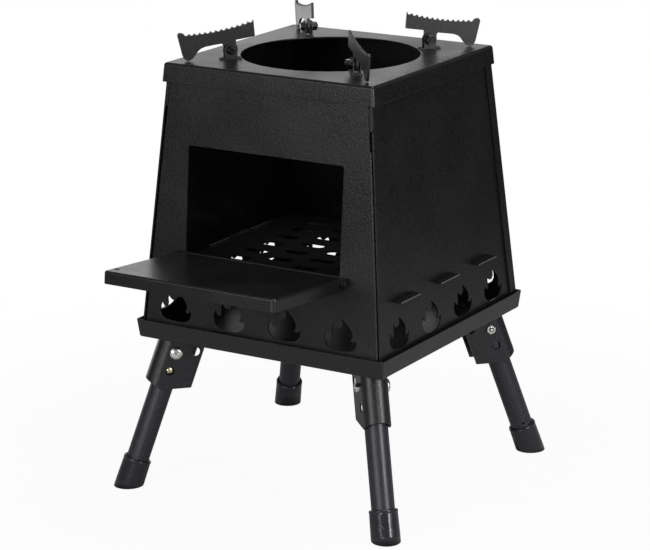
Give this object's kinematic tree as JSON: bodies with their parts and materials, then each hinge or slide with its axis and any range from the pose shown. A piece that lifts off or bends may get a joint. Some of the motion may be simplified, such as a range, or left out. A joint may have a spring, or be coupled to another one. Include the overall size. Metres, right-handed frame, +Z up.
{
  "type": "folding rocket stove",
  "caption": "Square tapered wood stove in a tray on folding splayed legs, with an open fuel door, flame-shaped air holes, a lift-off top and toothed tilting pot supports.",
  "frame": {"origin": "on the ground below the stove's vertical centre line", "axes": "+Z up, -Y towards the fuel door, +X to the right seen from the fuel door"},
  "size_m": [0.3184, 0.4075, 0.452],
  "materials": {
    "body_black": "fine-textured satin black coat",
    "support_black": "satin black coat",
    "leg_black": "satin black coat, slightly blue",
    "foot_black": "glossy black",
    "button_brass": "pale brass",
    "zinc": "bright zinc plate",
    "black_zinc": "black zinc plate",
    "spring_steel": "spring steel"
  },
  "bodies": {
    "stove": {"base_tray": "body_black", "front_panel": "body_black", "back_panel": "body_black", "left_panel": "body_black", "right_panel": "body_black", "fire_grate": "body_black", "door_pins": "body_black", "tray_rivets": "body_black", "leg_bracket_fl": "leg_black", "leg_bracket_fr": "leg_black", "leg_bracket_br": "leg_black", "leg_bracket_bl": "leg_black", "leg_screw_fl": "zinc", "leg_screw_fr": "zinc", "leg_screw_br": "zinc", "leg_screw_bl": "zinc", "leg_nut_fl": "zinc", "leg_nut_fr": "zinc", "leg_nut_br": "zinc", "leg_nut_bl": "zinc"},
    "cap": {"top_plate": "body_black", "cap_rivets": "support_black", "support_bracket_fl": "support_black", "support_bracket_fr": "support_black", "support_bracket_br": "support_black", "support_bracket_bl": "support_black", "support_bolt_fl": "black_zinc", "support_bolt_fr": "black_zinc", "support_bolt_br": "black_zinc", "support_bolt_bl": "black_zinc", "support_nut_fl": "black_zinc", "support_nut_fr": "black_zinc", "support_nut_br": "black_zinc", "support_nut_bl": "black_zinc"},
    "door": {"fuel_door": "body_black"},
    "support_fl": {"pot_support_fl": "support_black"},
    "leg_fl": {"leg_tube_fl": "leg_black", "foot_cap_fl": "foot_black", "button_spring_fl": "spring_steel"},
    "button_fl": {"lock_button_fl": "button_brass"},
    "support_fr": {"pot_support_fr": "support_black"},
    "leg_fr": {"leg_tube_fr": "leg_black", "foot_cap_fr": "foot_black", "button_spring_fr": "spring_steel"},
    "button_fr": {"lock_button_fr": "button_brass"},
    "support_br": {"pot_support_br": "support_black"},
    "leg_br": {"leg_tube_br": "leg_black", "foot_cap_br": "foot_black", "button_spring_br": "spring_steel"},
    "button_br": {"lock_button_br": "button_brass"},
    "support_bl": {"pot_support_bl": "support_black"},
    "leg_bl": {"leg_tube_bl": "leg_black", "foot_cap_bl": "foot_black", "button_spring_bl": "spring_steel"},
    "button_bl": {"lock_button_bl": "button_brass"}
  },
  "joints": [
    {"name": "door_hinge", "type": "hinge", "parent": "stove", "child": "door", "pos_m": [0, -0.1321, 0.23453], "axis": [-1, 0, 0], "range_deg": [0, 90]},
    {"name": "cap_lift", "type": "slide", "parent": "stove", "child": "cap", "axis": [0, 0, 1], "range_m": [0, 0.06]},
    {"name": "support_tilt_fl", "type": "hinge", "parent": "cap", "child": "support_fl", "pos_m": [-0.06859, -0.06859, 0.425], "axis": [-0.7071, 0.7071, 0], "range_deg": [0, 70]},
    {"name": "leg_fold_fl", "type": "hinge", "parent": "stove", "child": "leg_fl", "pos_m": [-0.11137, -0.11137, 0.1342], "axis": [0.7071, -0.7071, 0], "range_deg": [0, 109.5]},
    {"name": "button_press_fl", "type": "slide", "parent": "leg_fl", "child": "button_fl", "axis": [0.7071, -0.7071, 0], "range_m": [0, 0.0026], "stiffness_N_per_m": 400, "springref_m": 0.006},
    {"name": "support_tilt_fr", "type": "hinge", "parent": "cap", "child": "support_fr", "pos_m": [0.06859, -0.06859, 0.425], "axis": [-0.7071, -0.7071, 0], "range_deg": [0, 70]},
    {"name": "leg_fold_fr", "type": "hinge", "parent": "stove", "child": "leg_fr", "pos_m": [0.11137, -0.11137, 0.1342], "axis": [0.7071, 0.7071, 0], "range_deg": [0, 109.5]},
    {"name": "button_press_fr", "type": "slide", "parent": "leg_fr", "child": "button_fr", "axis": [0.7071, 0.7071, 0], "range_m": [0, 0.0026], "stiffness_N_per_m": 400, "springref_m": 0.006},
    {"name": "support_tilt_br", "type": "hinge", "parent": "cap", "child": "support_br", "pos_m": [0.06859, 0.06859, 0.425], "axis": [0.7071, -0.7071, 0], "range_deg": [0, 70]},
    {"name": "leg_fold_br", "type": "hinge", "parent": "stove", "child": "leg_br", "pos_m": [0.11137, 0.11137, 0.1342], "axis": [-0.7071, 0.7071, 0], "range_deg": [0, 109.5]},
    {"name": "button_press_br", "type": "slide", "parent": "leg_br", "child": "button_br", "axis": [-0.7071, 0.7071, 0], "range_m": [0, 0.0026], "stiffness_N_per_m": 400, "springref_m": 0.006},
    {"name": "support_tilt_bl", "type": "hinge", "parent": "cap", "child": "support_bl", "pos_m": [-0.06859, 0.06859, 0.425], "axis": [0.7071, 0.7071, 0], "range_deg": [0, 70]},
    {"name": "leg_fold_bl", "type": "hinge", "parent": "stove", "child": "leg_bl", "pos_m": [-0.11137, 0.11137, 0.1342], "axis": [-0.7071, -0.7071, 0], "range_deg": [0, 109.5]},
    {"name": "button_press_bl", "type": "slide", "parent": "leg_bl", "child": "button_bl", "axis": [-0.7071, -0.7071, 0], "range_m": [0, 0.0026], "stiffness_N_per_m": 400, "springref_m": 0.006}
  ]
}
